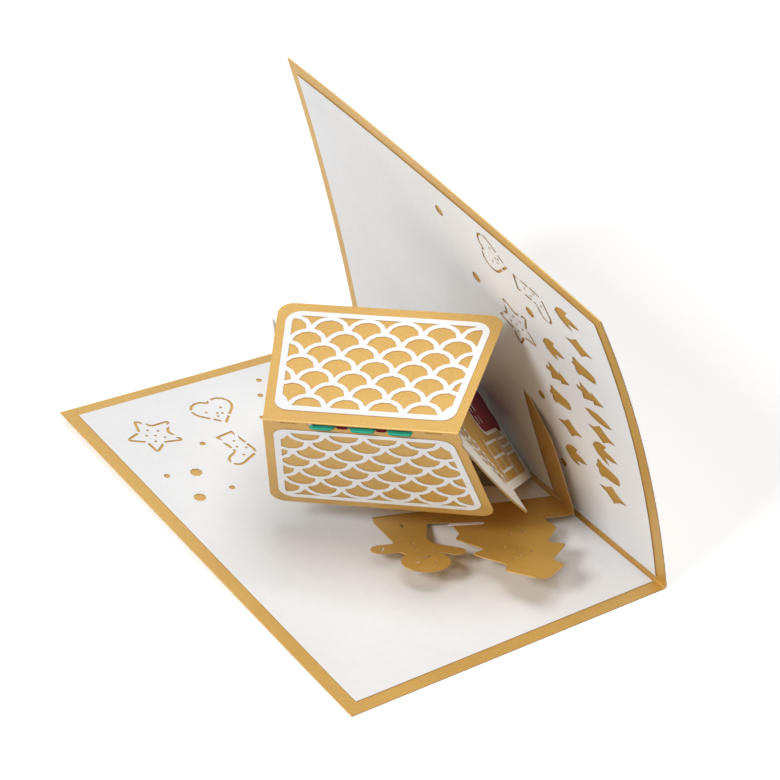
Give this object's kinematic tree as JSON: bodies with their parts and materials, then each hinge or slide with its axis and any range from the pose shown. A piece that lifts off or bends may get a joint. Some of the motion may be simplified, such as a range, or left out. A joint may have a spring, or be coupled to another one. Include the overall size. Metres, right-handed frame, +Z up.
{
  "type": "pop up card",
  "caption": "Half-open paper pop up card in pearl gold and white, with a small folded house under a fish-scale lattice roof and a low figure fence.",
  "frame": {"origin": "middle of the card's footprint, on the surface that the base page lies on", "axes": "+Z up from the surface, +Y along the fold, +X from the base page's outer edge towards the fold"},
  "size_m": [0.1278, 0.1778, 0.1232],
  "materials": {
    "gold_card": "satin",
    "white_paper": "matte",
    "pale_paper": "matte",
    "green_paper": "matte",
    "crimson_paper": "matte"
  },
  "bodies": {
    "root": {"cover": "gold_card", "base_insert": "white_paper", "upright_insert": "white_paper", "house_front": "gold_card", "house_back": "pale_paper", "gable_lace": "white_paper", "door": "crimson_paper", "roof": "gold_card", "roof_lattice_upper": "white_paper", "roof_lattice_lower": "white_paper", "inner_sheet_green": "green_paper", "inner_sheet_red": "crimson_paper", "fence": "gold_card", "fence_strap": "white_paper"}
  },
  "joints": []
}
